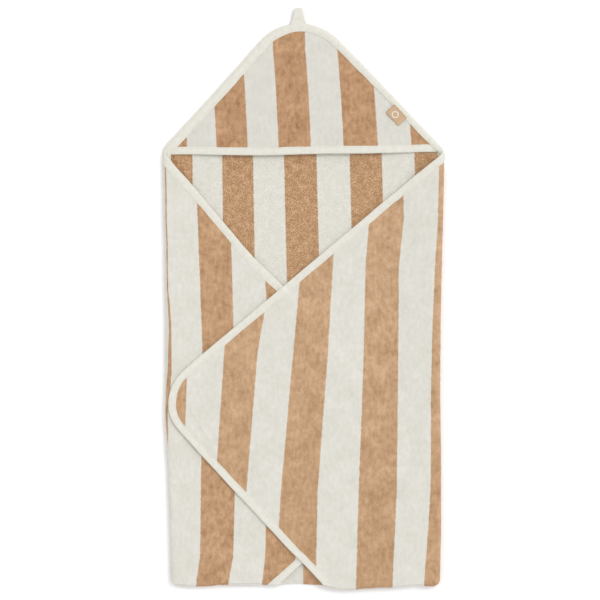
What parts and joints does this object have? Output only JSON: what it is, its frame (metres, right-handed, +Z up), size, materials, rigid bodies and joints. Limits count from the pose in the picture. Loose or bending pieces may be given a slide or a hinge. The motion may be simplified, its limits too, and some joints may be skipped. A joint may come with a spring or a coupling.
{
  "type": "hooded baby towel",
  "caption": "Square hooded baby towel of striped terry cloth with bound edges, folded flat: hood pocket at the top, side flaps crossed over the folded-up bottom corner.",
  "frame": {"origin": "on the surface that the towel lies on, below the middle of its bounding box", "axes": "+Z up from the surface, +Y towards the tip of the hood and its hanging loop, +X to the right seen from above with the hood at the top"},
  "size_m": [0.364, 0.749, 0.0126],
  "materials": {
    "terry_cloth": "cotton terry, velour outside and looped inside, sand and cream stripes",
    "binding_tape": "cream cotton bias tape, matt",
    "label_weave": "flat woven polyester, slight sheen"
  },
  "bodies": {
    "back": {"back_panel": "terry_cloth", "right_fold_strip": "terry_cloth", "left_fold_strip": "terry_cloth", "bottom_fold_strip": "terry_cloth"},
    "hood": {"hood_back": "terry_cloth", "hood_front": "terry_cloth", "hood_edge_binding": "binding_tape", "hood_mouth_binding": "binding_tape"},
    "loop": {"hanging_loop": "binding_tape"},
    "label": {"woven_label": "label_weave"},
    "right_side": {"right_flap": "terry_cloth", "right_flap_binding": "binding_tape", "bottom_fold_right_strip": "terry_cloth"},
    "left_side": {"left_flap": "terry_cloth", "left_flap_binding": "binding_tape", "bottom_fold_left_strip": "terry_cloth"},
    "bottom_corner": {"bottom_flap": "terry_cloth", "bottom_flap_binding": "binding_tape"},
    "bottom_left_end": {"bottom_corner_left": "terry_cloth", "bottom_corner_left_binding": "binding_tape"},
    "bottom_right_end": {"bottom_corner_right": "terry_cloth", "bottom_corner_right_binding": "binding_tape"}
  },
  "joints": [
    {"name": "right_flap_fold", "type": "hinge", "parent": "back", "child": "right_side", "pos_m": [0.17666, 0, 0.0063], "axis": [0, 1, 0], "range_deg": [0, 180], "deforming": ["right_fold_strip"]},
    {"name": "left_flap_fold", "type": "hinge", "parent": "back", "child": "left_side", "pos_m": [-0.17722, 0, 0.005], "axis": [0, -1, 0], "range_deg": [0, 180], "deforming": ["left_fold_strip", "left_flap", "left_flap_binding"]},
    {"name": "bottom_corner_fold", "type": "hinge", "parent": "back", "child": "bottom_corner", "pos_m": [0, -0.37284, 0.0024], "axis": [1, 0, 0], "range_deg": [0, 180], "deforming": ["bottom_fold_strip", "bottom_flap", "bottom_flap_binding"]},
    {"name": "bottom_left_end_fold", "type": "hinge", "parent": "left_side", "child": "bottom_left_end", "pos_m": [0, -0.37284, 0.0076], "axis": [-1, 0, 0], "range_deg": [0, 180], "deforming": ["bottom_fold_left_strip", "bottom_corner_left", "bottom_corner_left_binding"]},
    {"name": "bottom_right_end_fold", "type": "hinge", "parent": "right_side", "child": "bottom_right_end", "pos_m": [0, -0.37284, 0.0102], "axis": [-1, 0, 0], "range_deg": [0, 180], "deforming": ["bottom_fold_right_strip", "bottom_corner_right", "bottom_corner_right_binding"]},
    {"name": "hood_fold", "type": "hinge", "parent": "back", "child": "hood", "pos_m": [0, 0.1855, 0.0125], "axis": [-1, 0, 0], "range_deg": [-175, 0]},
    {"name": "loop_swing", "type": "hinge", "parent": "hood", "child": "loop", "pos_m": [-0.00745, 0.35488, 0.0051], "axis": [1, 0, 0], "range_deg": [0, 90]},
    {"name": "label_flip", "type": "hinge", "parent": "hood", "child": "label", "pos_m": [0.12393, 0.24077, 0.0054], "axis": [-0.6924, 0.7215, 0], "range_deg": [0, 165]}
  ],
  "couplings": [
    {"joint": "bottom_left_end_fold", "follows": "bottom_corner_fold", "ratio": 1},
    {"joint": "bottom_right_end_fold", "follows": "bottom_corner_fold", "ratio": 1}
  ]
}
